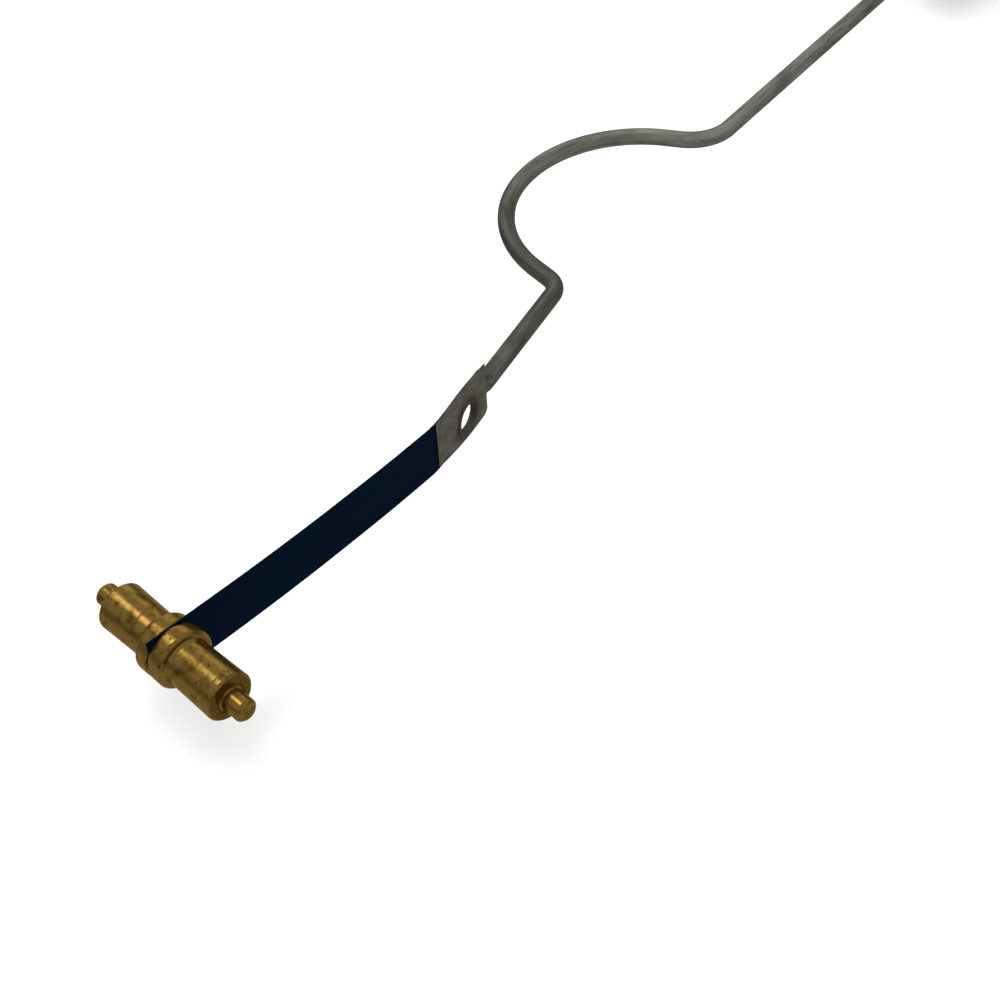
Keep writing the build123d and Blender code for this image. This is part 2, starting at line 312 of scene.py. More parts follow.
# ---------------------------------------------------------------- material tools
class Finish:
    """A Principled material in the making. Its patterns are measured in millimetres."""

    def __init__(self, name, **sockets):
        self.material = bpy.data.materials.new(name)
        self.material.use_nodes = True
        self.tree = self.material.node_tree
        self.shader = self.tree.nodes["Principled BSDF"]
        self.places = {}
        for socket, value in sockets.items():
            self.shader.inputs[socket.replace("_", " ")].default_value = value

    def node(self, kind, inputs, **settings):
        """A new shader node. An input is a constant or another node's output."""
        made = self.tree.nodes.new("ShaderNode" + kind)
        for setting, value in settings.items():
            setattr(made, setting, value)
        for socket, value in inputs.items():
            if isinstance(value, bpy.types.NodeSocket):
                self.tree.links.new(value, made.inputs[socket])
            else:
                made.inputs[socket].default_value = value
        return made

    def place(self, stretch, grain):
        """Coordinates in millimetres, divided by stretch: the object's own, or its grain."""
        if (stretch, grain) not in self.places:
            if grain:
                source = self.node("Attribute", {}, attribute_name="grain").outputs["Vector"]
                unit = 1
            else:
                source = self.node("TexCoord", {}).outputs["Object"]
                unit = 1 / MM
            inputs = {"Vector": source, "Scale": [unit / s for s in stretch]}
            self.places[stretch, grain] = self.node("Mapping", inputs).outputs[0]
        return self.places[stretch, grain]

    def noise(self, size, detail=3.0, rough=0.55, stretch=(1, 1, 1), grain=False):
        """Cloudy pattern, 0 to 1, with features about size across."""
        place = self.place(stretch, grain)
        inputs = {"Vector": place, "Scale": 1 / size, "Detail": detail, "Roughness": rough}
        return self.node("TexNoise", inputs).outputs[0]

    def specks(self, size, share, stretch=(1, 1, 1), grain=False):
        """Small separate spots in a share of the cells size across: 1 on a spot, 0 between."""
        rim, core = 0.32, 0.12
        cells = self.node("TexVoronoi", {"Vector": self.place(stretch, grain), "Scale": 1 / size})
        near = self.range(cells.outputs["Distance"], 0, 1, rim, core)
        pick = self.node("SeparateColor", {"Color": cells.outputs["Color"]}).outputs[0]
        chosen = self.node("Math", {0: pick, 1: share}, operation="LESS_THAN").outputs[0]
        return self.both(near, chosen)

    def ramp(self, factor, stops):
        """Colour from a factor, through stops (position, colour)."""
        made = self.node("ValToRGB", {"Fac": factor})
        elements = made.color_ramp.elements
        while len(elements) < len(stops):
            elements.new(0.5)
        for element, (position, colour) in zip(elements, stops):
            element.position = position
            element.color = (*colour, 1)
        return made.outputs[0]

    def mix(self, factor, below, above, blend="MIX"):
        """One colour over another by a factor."""
        made = self.node("Mix", {"Factor": factor}, data_type="RGBA", blend_type=blend)
        for socket, value in (("A", below), ("B", above)):
            slot = next(s for s in made.inputs if s.name == socket and s.type == "RGBA")
            if isinstance(value, bpy.types.NodeSocket):
                self.tree.links.new(value, slot)
            else:
                slot.default_value = (*value, 1)
        return next(s for s in made.outputs if s.type == "RGBA")

    def range(self, factor, low, high, start=0.3, end=0.7):
        """A factor spread from start..end to low..high."""
        inputs = {"Value": factor, "From Min": start, "From Max": end, "To Min": low, "To Max": high}
        return self.node("MapRange", inputs).outputs[0]

    def grain(self, part):
        """One component (X, Y or Z) of the mesh's grain, in millimetres."""
        split = self.node("SeparateXYZ", {"Vector": self.place((1, 1, 1), True)})
        return split.outputs[part]

    def both(self, first, second):
        """Two factors multiplied."""
        return self.node("Math", {0: first, 1: second}, operation="MULTIPLY").outputs[0]

    def add(self, first, second):
        """Two factors added."""
        return self.node("Math", {0: first, 1: second}, operation="ADD").outputs[0]

    def wear(self, colour, roughness, *heights):
        """Links colour, roughness and (height, depth in millimetres) pairs to the shader."""
        self.tree.links.new(colour, self.shader.inputs["Base Color"])
        self.tree.links.new(roughness, self.shader.inputs["Roughness"])
        normal = None
        for height, depth in heights:
            inputs = {"Height": height, "Strength": 1.0, "Distance": depth * MM}
            if normal is not None:
                inputs["Normal"] = normal
            normal = self.node("Bump", inputs).outputs[0]
        if normal is not None:
            self.tree.links.new(normal, self.shader.inputs["Normal"])
        return self.material


def brass(name, slot, light, dark, tint=(0.9, 0.75, 0.5, 1), faces=None):
    """Turned brass: rings from the lathe tool, a little tarnish and dirt.

    faces is a distance along the axis and a radius beyond both of which the colour is darkened: painted
    shade on the end faces.
    """
    finish = Finish(name, Metallic=0.92, Specular_Tint=tint)
    tarnish = finish.noise(1.3, detail=5, rough=0.6)
    colour = finish.ramp(tarnish, [(0.32, dark), (0.5, light), (0.72, tuple(0.82 * c for c in light))])
    rings = finish.noise(0.16, detail=4, rough=0.75, grain=True)
    colour = finish.mix(finish.range(rings, 0.0, 0.25, 0.5, 0.72), colour, dark)
    spots = finish.specks(0.55, 0.16)
    colour = finish.mix(spots, colour, tuple(0.55 * c for c in dark))
    # Painted shade: past this distance and radius, on the drums' end faces, the colour is darkened.
    if faces:
        along, radius = faces
        soft = 0.1
        distance = finish.node("Math", {0: finish.grain("X")}, operation="ABSOLUTE").outputs[0]
        beyond = finish.range(distance, 0, 0.75, along - soft, along)
        shaded_past_radius = finish.range(finish.grain("Y"), 0, 1, radius, radius + soft)
        colour = finish.mix(finish.both(beyond, shaded_past_radius), colour, dark)
    roughness = finish.add(finish.range(tarnish, 0.21, 0.16), finish.range(rings, 0.0, 0.06))
    fine = finish.noise(0.05, detail=2, grain=True)
    material = finish.wear(colour, roughness, (rings, 0.004), (fine, 0.001), (finish.noise(0.5), 0.008))
    return slot, material


def steel(name, slot, light, dark, roughness, dark_patch=None, bore=None):
    """Mill-finish sheet steel: cloudy oxidised skin, fine rolling lines, rust freckles.

    A place on the grain may be given, with a darker patch round it. bore is a radius, inside which the
    colour is darkened: painted shade in the bore.
    """
    rust_colour = (0.11, 0.055, 0.010)
    # colour of the darker patch, and of the painted shade inside a bore
    patch_and_shade_colour = (0.045, 0.040, 0.028)
    finish = Finish(name, Metallic=0.5, Specular_Tint=(0.6, 0.6, 0.56, 1), Specular_IOR_Level=0.25)
    cloud = finish.noise(1.1, detail=6, rough=0.62)
    lines = finish.noise(0.12, detail=2, stretch=(12, 1, 1))
    colour = finish.ramp(cloud, [(0.35, dark), (0.62, light)])
    colour = finish.mix(finish.range(lines, 0.0, 0.5), colour, tuple(0.75 * c for c in light))
    grime = finish.both(finish.specks(0.45, 0.35), finish.range(cloud, 0.8, 0.0, 0.4, 0.6))
    colour = finish.mix(grime, colour, tuple(0.5 * c for c in dark))
    colour = finish.mix(finish.specks(0.22, 0.3), colour, rust_colour)
    # A darker patch round a given place on the grain.
    if dark_patch:
        dark_patch_core, dark_patch_edge = 2.0, 3.2
        inputs = {0: finish.place((1, 1, 1), True), 1: dark_patch}
        distance = finish.node("VectorMath", inputs, operation="DISTANCE").outputs["Value"]
        uneven = finish.add(distance, finish.range(finish.noise(0.8, detail=4), -0.5, 0.5))
        patch = finish.range(uneven, 0.8, 0.0, dark_patch_core, dark_patch_edge)
        colour = finish.mix(patch, colour, patch_and_shade_colour)
    # Painted shade: the colour is darkened inside the bore.
    if bore:
        inside = finish.range(finish.grain("Y"), 0.85, 0.0, bore, bore + 0.1)
        colour = finish.mix(inside, colour, patch_and_shade_colour)
    patchy = finish.range(cloud, roughness + 0.08, roughness - 0.05)
    rough = finish.add(patchy, finish.range(lines, 0, 0.05))
    material = finish.wear(colour, rough, (cloud, 0.03), (lines, 0.004), (finish.noise(0.2), 0.008))
    return slot, material


def wire():
    """Drawn heat-resistant rod: long dull streaks, die lines, patchy scale, and painted light and shade
    along its length, darkest near the kink.
    """
    shading_run = 80
    # painted light and shade along the rod: millimetres from the rod's tip, and how much of the clean
    # metal's brightness is left there
    shading_stops = ((16, 0.60), (25, 0.42), (37, 0.44), (45, 0.72), (54, 0.95))
    finish = Finish("drawn rod", Metallic=0.6, Specular_Tint=(0.6, 0.6, 0.56, 1), Specular_IOR_Level=0.3)
    streaks = finish.noise(0.55, detail=5, rough=0.6, stretch=(14, 1, 1), grain=True)
    scale = finish.noise(2.2, detail=6, rough=0.65, stretch=(2.2, 1, 1), grain=True)
    colour = finish.ramp(streaks, [(0.34, (0.108, 0.108, 0.088)), (0.66, (0.252, 0.252, 0.212))])
    colour = finish.mix(finish.range(scale, 0.0, 0.65, 0.48, 0.7), colour, (0.072, 0.072, 0.056))
    # Painted light and shade: the colour is darkened by different amounts along the rod.
    along = finish.range(finish.grain("X"), 0, 1, 0, shading_run)
    painted_shading = finish.ramp(along, [(place / shading_run, (tone, tone, tone)) for place, tone in shading_stops])
    colour = finish.mix(1.0, colour, painted_shading, blend="MULTIPLY")
    # Pits drawn as near-black specks: painted shade in them.
    shaded_pits = finish.specks(0.3, 0.06, stretch=(2, 1, 1), grain=True)
    colour = finish.mix(shaded_pits, colour, (0.02, 0.02, 0.018))
    roughness = finish.add(finish.range(scale, 0.48, 0.60), finish.range(streaks, 0.04, -0.04))
    lines = finish.noise(0.09, detail=2, stretch=(40, 1, 1), grain=True)
    material = finish.wear(colour, roughness, (scale, 0.03), (streaks, 0.012), (lines, 0.003))
    return "electrode_wire", material


def blued():
    """Heat-blued spring strip: near-black, blue-oxidised surface with faint rolling lines."""
    blues = [
        (0.30, (0.0009, 0.0048, 0.0136)),
        (0.55, (0.0011, 0.0054, 0.0150)),
        (0.75, (0.0014, 0.0060, 0.0164)),
    ]
    line_blue = (0.0018, 0.0068, 0.0172)
    finish = Finish("blued strip", Metallic=0.0, Specular_IOR_Level=0.006)
    cloud = finish.noise(3.0, detail=4, stretch=(3, 1, 1), grain=True)
    lines = finish.noise(0.10, detail=3, stretch=(60, 1, 1), grain=True)
    colour = finish.ramp(cloud, blues)
    colour = finish.mix(finish.range(lines, 0.0, 0.25, 0.5, 0.8), colour, line_blue)
    roughness = finish.range(cloud, 0.42, 0.52)
    material = finish.wear(colour, roughness, (lines, 0.0015), (cloud, 0.01))
    return "blued_leaf", material


def ceramic():
    """Glazed steatite: warm white, faint mottling, kiln specks, thin glaze."""
    finish = Finish("glazed steatite", Coat_Weight=0.5, Coat_Roughness=0.08, Specular_IOR_Level=0.5)
    cloud = finish.noise(3.5, detail=5)
    colour = finish.ramp(cloud, [(0.3, (0.46, 0.42, 0.345)), (0.7, (0.54, 0.51, 0.445))])
    colour = finish.mix(finish.specks(0.7, 0.10), colour, (0.21, 0.15, 0.09))
    roughness = finish.range(cloud, 0.28, 0.4)
    material = finish.wear(colour, roughness, (finish.noise(0.5, detail=4), 0.012), (cloud, 0.06))
    return "steatite", material


def paste():
    """Refractory cement: gritty grey-white, with pores."""
    finish = Finish("refractory cement", Specular_IOR_Level=0.3)
    grit = finish.noise(0.22, detail=6, rough=0.7)
    colour = finish.ramp(grit, [(0.35, (0.20, 0.185, 0.16)), (0.65, (0.46, 0.44, 0.40))])
    # Pores, sunk by the bump, are painted darker: painted shade in them.
    pores = finish.specks(0.35, 0.3)
    colour = finish.mix(pores, colour, (0.08, 0.07, 0.06))
    roughness = finish.range(grit, 0.75, 0.95)
    material = finish.wear(colour, roughness, (grit, 0.12), (finish.range(pores, 1, 0, 0, 1), 0.08))
    return "cement", material


def fibre():
    """Compressed fibre gasket: grey-green with matted fibres."""
    finish = Finish("gasket fibre", Specular_IOR_Level=0.25, Sheen_Weight=0.15)
    along = finish.noise(0.14, detail=3, stretch=(1, 9, 1))
    across = finish.noise(0.14, detail=3, stretch=(1, 1, 9))
    mat = finish.add(finish.range(along, 0, 0.5), finish.range(across, 0, 0.5))
    colour = finish.ramp(mat, [(0.25, (0.040, 0.044, 0.038)), (0.8, (0.125, 0.130, 0.112))])
    roughness = finish.range(mat, 0.75, 0.92, 0, 1)
    material = finish.wear(colour, roughness, (mat, 0.05), (finish.noise(1.5), 0.05))
    return "fibre", material


def plated(name, slot, light, dark, base_roughness):
    """Zinc-plated pressing: soft spangle, a breath of yellow passivate, scuffs."""
    finish = Finish(name, Metallic=1.0)
    spangle = finish.noise(0.9, detail=5, rough=0.6)
    colour = finish.ramp(spangle, [(0.3, dark), (0.6, light), (0.8, tuple(0.9 * c for c in light))])
    haze = finish.noise(6.0, detail=3)
    warm = (light[0] * 1.02, light[1] * 0.95, light[2] * 0.78)
    colour = finish.mix(finish.range(haze, 0.0, 0.6, 0.45, 0.7), colour, warm)
    scuffs = finish.noise(0.09, detail=2, stretch=(1, 14, 1))
    patchy = finish.range(spangle, base_roughness, base_roughness + 0.12)
    roughness = finish.add(patchy, finish.range(scuffs, 0, 0.08))
    material = finish.wear(colour, roughness, (spangle, 0.012), (scuffs, 0.003))
    return slot, material


# ---------------------------------------------------------------- the materials
brass_light = (0.31, 0.190, 0.043)
brass_dark = (0.13, 0.070, 0.009)
# faces darkens the drums' end faces in colour: painted shade.
head_brass = brass("turned brass", "brass", brass_light, brass_dark, faces=(8.10, 1.25))
stud_light = (0.62, 0.45, 0.19)
stud_dark = (0.40, 0.27, 0.09)
stud_brass = brass("terminal brass", "terminal_brass", stud_light, stud_dark, tint=(1, 0.9, 0.7, 1))
tab_light = (0.140, 0.136, 0.110)
tab_dark = (0.075, 0.072, 0.055)
tab_steel = steel("tab steel", "bare_steel", tab_light, tab_dark, 0.46, dark_patch=(1.025, -1.0, -0.47))
# The eyelet wears a darker copy of the tab's steel as painted shade, with more painted shade in its bore.
eyelet_light = (0.090, 0.084, 0.064)
eyelet_dark = (0.045, 0.041, 0.029)
shaded_eyelet_steel = steel("eyelet steel", "bare_steel", eyelet_light, eyelet_dark, 0.5, bore=1.64)
rod_wire = wire()
leaf_blue = blued()
steatite = ceramic()
cement = paste()
gasket_fibre = fibre()
zinc = plated("zinc-plated steel", "plated_steel", (0.56, 0.57, 0.58), (0.36, 0.37, 0.39), 0.27)
spring = plated("spring steel", "spring_steel", (0.20, 0.20, 0.21), (0.10, 0.10, 0.11), 0.30)
rivet_steel = plated("rivet steel", "rivet_steel", (0.50, 0.50, 0.49), (0.30, 0.30, 0.29), 0.24)
nut_steel = plated("nut steel", "plated_steel", (0.60, 0.60, 0.58), (0.42, 0.42, 0.40), 0.22)


# ---------------------------------------------------------------- sensing head
stub_r = 1.18
pin_half = 10.45
core_r = 1.45
drum_end = 8.15
drum_r = 2.54
waist_r = 2.40
collar_r = 3.10
collar_end = 1.85
collar_cove = 0.45
leaf_half = 0.1
bore_gap = 0.02
drill_len = 3


def cross_pin():
    """Pin through the leaf and both bushes, with an off-centre pip left on each stub's end."""
    half = [
        (0, core_r, 0), (drum_end - 0.06, core_r, 0.05), (drum_end - 0.02, core_r - 0.08, 0),
        (drum_end - 0.02, stub_r + 0.08, 0.02), (drum_end + 0.10, stub_r - 0.05, 0.05),
        (drum_end + 0.25, stub_r, 0.1), (pin_half - 0.30, stub_r, 0.2), (pin_half, stub_r - 0.28, 0.12),
        (pin_half, 0.34, 0.03), (pin_half - 0.10, 0.22, 0.05), (pin_half - 0.14, 0.015, 0),
    ]
    right = divided(rounded(half), 0.25)
    left = right[::-1] * (-1, 1)
    pip_r, pip_shift = 0.45, (0.16, 0.30)

    def pip(along, radius):
        """Moves the middle of both end faces off the axis."""
        return pip_shift if abs(along) > pin_half - 0.2 and radius < pip_r else (0, 0)

    mesh = turned("pin", np.vstack([left[:-1], right]), origin=head, axis=head_axis, around=80, offset=pip)
    piece("turned_cross_pin", mesh, "sensing_head", head_brass, ["cross_pin"])


def bush(side, node, grooves):
    """Turned bush: collar against the leaf, cove, and a slightly tapered drum with fine tool grooves."""
    cove_end = collar_end + collar_cove
    bore = core_r + bore_gap
    groove_half, groove_depth = 0.07, 0.03

    def surface(along):
        """Radius of the tapered drum."""
        return waist_r + (drum_r - waist_r) * (along - cove_end) / (drum_end - cove_end)

    corners = [
        (leaf_half, bore, 0.06),
        (leaf_half, collar_r - 0.04, 0.12), (leaf_half + 0.30, collar_r, 0.5),
        (collar_end - 0.28, collar_r, 0.3), (collar_end, collar_r - 0.22, 0.2),
        (collar_end + 0.06, waist_r + 0.10, 0.12), (cove_end, waist_r, 0.2),
    ]
    for at in grooves:
        out = surface(at)
        corners += [
            (at - groove_half, out, 0.02), (at, out - groove_depth, 0.03), (at + groove_half, out, 0.02),
        ]
    corners += [
        (drum_end - 0.30, surface(drum_end - 0.30), 0.2), (drum_end - 0.05, drum_r - 0.24, 0.08),
        (drum_end, drum_r - 0.60, 0.2), (drum_end, bore, 0.05),
    ]
    outline = rounded(corners, closed=True)
    outline = divided(np.vstack([outline, outline[:1]]), 0.22)[:-1]
    mesh = turned("bush", outline * (side, 1), closed=True, origin=head, axis=head_axis, around=112)
    piece(f"turned_{node}", mesh, "sensing_head", head_brass, [node])


cross_pin()
bush(-1, "near_bush", [7.2])
bush(1, "far_bush", [3.7])

# ---------------------------------------------------------------- sensing leaf
leaf_t = 0.20
leaf_w = 6.2
leaf_overrun = 2.5
leaf_corner_cut = 1.1
leaf_corner_1 = (-164.5, -4.5)
leaf_corner_2 = (-151.0, -5.5)
leaf_radii = (300.0, 180.0, 12.0)
leaf_end_gap = 1.2
paddle_t = 0.25
tab_t = 0.15
tab_len = 10.25
tab_mouth_gap = 0.25
eyelet_tube_r = 1.75
eyelet_hole_r = eyelet_tube_r + 0.02
leaf_hole_gap = 0.01


def strip_section(half_thick, half_wide, count=40, power=9):
    """Flat section with rounded edges, as points (across, up)."""
    points = []
    for k in range(count):
        c, s = cos(2 * pi * k / count), sin(2 * pi * k / count)
        across = half_thick * np.sign(c) * abs(c) ** (2 / power)
        up = half_wide * np.sign(s) * abs(s) ** (2 / power)
        points.append((across, up))
    return points


def sensing_leaf():
    """Spring strip between the collars and the tab, bending smoothly."""
    leaf_mid = -(paddle_t + leaf_t) / 2
    end = tab_edge - near_dir * leaf_end_gap + near_normal * leaf_mid
    mouth = tab_edge - near_dir * (tab_len + tab_mouth_gap) + near_normal * leaf_mid
    start = head - head_dir * leaf_overrun
    corners = [
        corner(start), corner(leaf_corner_1, leaf_radii[0]), corner(leaf_corner_2, leaf_radii[1]),
        corner(mouth, leaf_radii[2]), corner(end),
    ]
    route = rounded(corners, steps=30)
    strip = strip_section(leaf_t / 2, leaf_w / 2)

    def section(u):
        """The strip's section, with the lower corner beyond the head cut off."""
        lowest = max(0.0, leaf_corner_cut - u) - leaf_w / 2
        return [(across, max(up, lowest)) for across, up in strip]

    mesh = swept("leaf", route, section, 0.35)
    pin_hole = drill(head, head_axis, core_r + bore_gap + leaf_hole_gap, drill_len)
    eyelet_hole = drill(eyelet, near_normal, eyelet_hole_r + leaf_hole_gap, drill_len)
    mesh = cut(mesh, [pin_hole, eyelet_hole])
    made = piece("blued_sensing_leaf", mesh, None, leaf_blue, ["sensing_leaf"])
    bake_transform(made)


sensing_leaf()

# ---------------------------------------------------------------- tab and eyelet
tab_rod_end = (-3.5, 3.15)
tab_leaf_end = (-2.7, 3.2)
tab_crown = 0.42
eyelet_bore_r = 1.60
eyelet_rim_r = 2.05
eyelet_rim_t = 0.10
tab_face = -paddle_t / 2 - leaf_t - tab_t


def end_tab():
    """Sheared tab over the leaf's end: crowned long edges, one rounded corner, dented face."""
    along_count, up_count = 60, 48
    half = tab_len / 2
    big_corner, small_corner = 0.9, 0.18
    ease_w, ease_depth = 0.16, 0.07
    dent_depth, dent_pitch, dent_margin = 0.035, 0.45, 0.3

    def edge(x, sign):
        """Height of the long edge at x from the tab's middle, the lower one with sign -1."""
        which = 0 if sign < 0 else 1
        leaf_end, rod_end = tab_leaf_end[which], tab_rod_end[which]
        chord = (leaf_end + rod_end) / 2 + (rod_end - leaf_end) / 2 * x / half
        height = sign * chord + tab_crown * (1 - (x / half) ** 2)
        turn = big_corner if sign < 0 and x > 0 else small_corner
        past = abs(x) - half + turn
        if past > 0:
            height -= turn - (turn ** 2 - past ** 2) ** 0.5
        return sign * height

    grid = []
    for x in half * np.sin(np.linspace(-pi / 2, pi / 2, along_count)):
        low, high = edge(x, -1), edge(x, 1)
        for k in range(up_count):
            share = 0.5 - 0.5 * cos(pi * k / (up_count - 1))
            grid.append((x, low + (high - low) * share))

    middle_at = tab_edge - near_dir * half
    points, faces, grain = [], [], []
    for front in (True, False):
        for x, z in grid:
            margin = min(half - abs(x), z - edge(x, -1), edge(x, 1) - z)
            sunk = ease_depth * max(0.0, 1 - margin / ease_w) ** 2
            if front and margin > dent_margin:
                dent = noise.noise(Vector((x * dent_pitch, z * dent_pitch, 3.0))) - 0.35
                sunk += dent_depth * max(0.0, -dent)
            across = tab_face + sunk if front else tab_face + tab_t - sunk
            points.append(middle_at + near_dir * x + UP * z + near_normal * across)
            grain.append((x, z, across))

    size = along_count * up_count
    for layer in (0, 1):
        for i in range(along_count - 1):
            for k in range(up_count - 1):
                a = layer * size + i * up_count + k
                faces.append((a, a + up_count, a + up_count + 1, a + 1))
    rim = [i * up_count for i in range(along_count)]
    rim += [(along_count - 1) * up_count + k for k in range(1, up_count)]
    rim += [i * up_count + up_count - 1 for i in range(along_count - 2, -1, -1)]
    rim += range(up_count - 2, 0, -1)
    for a, b in zip(rim, rim[1:] + rim[:1]):
        faces.append((a, b, b + size, a + size))
    mesh = new_mesh("tab", np.array(points), faces, grain)
    mesh = cut(mesh, [drill(eyelet, near_normal, eyelet_hole_r, drill_len)])
    piece("sheared_end_tab", mesh, "probe_body", tab_steel, ["end_tab"])


def tab_eyelet():
    """Tubular eyelet rolled over both faces of the stack, its rims uneven."""
    front = tab_face - eyelet_rim_t
    back = paddle_t / 2 + eyelet_rim_t
    half = (back - front) / 2
    ease = 0.05
    corners = [
        (-half, eyelet_bore_r + ease, 0.02), (-half, eyelet_rim_r - ease, 0.05),
        (-half + eyelet_rim_t, eyelet_rim_r, 0.02), (-half + eyelet_rim_t, eyelet_tube_r, 0.01),
        (half - eyelet_rim_t, eyelet_tube_r, 0.01), (half - eyelet_rim_t, eyelet_rim_r, 0.02),
        (half, eyelet_rim_r - ease, 0.05), (half, eyelet_bore_r + ease, 0.02),
        (half - ease, eyelet_bore_r, 0.05), (-half + ease, eyelet_bore_r, 0.05),
    ]
    loss, waves = 0.09, 1.6

    def uneven(along, radius, angle):
        """The rims' radius, a little smaller in places. The tube keeps its own."""
        if radius < eyelet_tube_r + ease:
            return radius
        place = Vector((cos(angle) * waves, sin(angle) * waves, along))
        return radius - loss * (0.5 + 0.5 * noise.noise(place))

    outline = rounded(corners, closed=True)
    mesh = turned("eyelet", outline, closed=True, origin=eyelet, axis=near_normal, shape=uneven)
    piece("rolled_tab_eyelet", mesh, "probe_body", shaded_eyelet_steel, ["tab_eyelet"])


end_tab()
tab_eyelet()

# ---------------------------------------------------------------- rod
neck_len = 1.0
paddle_w = 5.4
paddle_drop = 0.35
paddle_len = 8.8
paddle_shoulder = 1.2
paddle_corner = 1.0
neck_w = 3.0


def electrode_rod():
    """Round rod with a bow and two kinks, hammered flat at the tab and pierced for the eyelet."""
    tip = tab_edge - near_dir * paddle_len
    to_bow = rounded([corner(tip), corner(near_kink, near_kink_r), corner(bow_start)], steps=10)
    angles = np.radians(np.linspace(bow_start_angle, bow_end_angle, 90))
    bow = bow_centre[:2] + bow_r * np.stack([np.cos(angles), np.sin(angles)], 1)
    to_tail = rounded([corner(bow_end), corner(far_kink, far_kink_r), corner(rod_tail)], steps=14)
    route = np.vstack([to_bow[:-1], bow, to_tail[1:]])

    def section(u):
        """Round along the rod, a flat paddle at its tip, and a neck between them."""
        flat = np.clip((paddle_len + neck_len - u) / neck_len, 0, 1)
        flat = flat * flat * (3 - 2 * flat)
        thick = rod_r + (paddle_t / 2 - rod_r) * flat
        spread = np.clip((paddle_len - u) / paddle_shoulder, 0, 1)
        wide = rod_r + (neck_w / 2 - rod_r) * flat + (paddle_w - neck_w) / 2 * spread * (2 - spread)
        if u < paddle_corner:
            arc = (paddle_corner ** 2 - (paddle_corner - u) ** 2) ** 0.5
            wide = min(wide, paddle_w / 2 - paddle_corner + arc)
        ring = strip_section(thick, wide, count=48, power=2 + 5 * flat)
        return [(across, up - paddle_drop * spread) for across, up in ring]

    mesh = swept("rod", route, section, 0.4)
    mesh = cut(mesh, [drill(eyelet, near_normal, eyelet_hole_r, drill_len)])
    piece("drawn_electrode_rod", mesh, "probe_body", rod_wire, ["electrode_rod"])


electrode_rod()

# ---------------------------------------------------------------- insulator, cement and gaskets
nose_front, body_end = span("insulator")
shoulder_front = span("seat_gasket")[1]
shoulder_back = span("spring_washer")[0]
shoulder_r = 7.0
nose_r = 4.5
body_r = 5.0
insulator_bore_r = 1.35
cement_len = 3.0
cement_r = 2.2
rib_w = 1.8
rib_pitch = 4.2
rib_depth = 0.8
rib_count = 3
rib_draft = 0.12
ribs_start = span("retainer_cup")[1] + 2.5


def insulator():
    """Steatite bush: nose towards the flame, shoulder under the cup, grooved barrel, cement wells."""
    corners = [
        (nose_front, cement_r, 0.25), (nose_front, nose_r, 1.1), (shoulder_front, nose_r, 0.2),
        (shoulder_front, shoulder_r, 0.8), (shoulder_back, shoulder_r, 0.8), (shoulder_back, body_r, 0.2),
    ]
    for rib in range(rib_count):
        start = ribs_start + rib * rib_pitch
        corners += [
            (start, body_r, 0.35), (start + rib_draft, body_r - rib_depth, 0.3),
            (start + rib_w - rib_draft, body_r - rib_depth, 0.3), (start + rib_w, body_r, 0.35),
        ]
    corners += [
        (body_end, body_r, 1.3), (body_end, cement_r, 0.25), (body_end - cement_len, cement_r, 0.1),
        (body_end - cement_len, insulator_bore_r, 0.1), (nose_front + cement_len, insulator_bore_r, 0.1),
        (nose_front + cement_len, cement_r, 0.1),
    ]
    outline = rounded(corners, closed=True)
    outline = divided(np.vstack([outline, outline[:1]]), 1.5)[:-1]
    mesh = turned("insulator", outline, closed=True, around=128)
    piece("glazed_insulator", mesh, "probe_body", steatite, ["insulator"])


def cement_plug(node, name, out):
    """Cement poured round the rod in one of the insulator's wells, with a rough sagging face outwards."""
    low, high = span(node)
    face = low if out < 0 else high
    back = high if out < 0 else low
    sag = 0.35
    grit_depth, grit_pitch = 0.03, 3
    radii = np.linspace(rod_r, cement_r, 12)
    outline = [(face - out * sag * sin(pi * (r - rod_r) / (cement_r - rod_r)) ** 0.8, r) for r in radii]
    outline += [(back, cement_r), (back, rod_r)]

    def gritty(along, radius, angle):
        """Roughness of the open face."""
        if abs(along - face) > 2 * sag or radius in (radii[0], radii[-1]):
            return radius
        place = Vector((radius * cos(angle), radius * sin(angle), along)) * grit_pitch
        return radius + grit_depth * noise.noise(place)

    mesh = turned("cement", np.array(outline), closed=True, shape=gritty)
    piece(name, mesh, "probe_body", cement, [node])


insulator()
cement_plug("front_cement", "front_cement_plug", -1)
cement_plug("rear_cement", "rear_cement_plug", 1)
piece("fibre_flange_gasket", eased("flange_gasket", 0.25), "probe_body", gasket_fibre, ["flange_gasket"])
piece("fibre_seat_gasket", eased("seat_gasket", 0.12), "probe_body", gasket_fibre, ["seat_gasket"])

# ---------------------------------------------------------------- flange, cup, rivets
piece("plated_mounting_flange", eased("mounting_flange", 0.3), "probe_body", zinc, ["mounting_flange"])
piece("pressed_retainer_cup", eased("retainer_cup", 0.12), "probe_body", zinc, ["retainer_cup"])
piece("wavy_spring_washer", eased("spring_washer", 0.1), "probe_body", spring, ["spring_washer"])


# radius at which an outline starts and ends beside its axis
axis_gap = 0.02


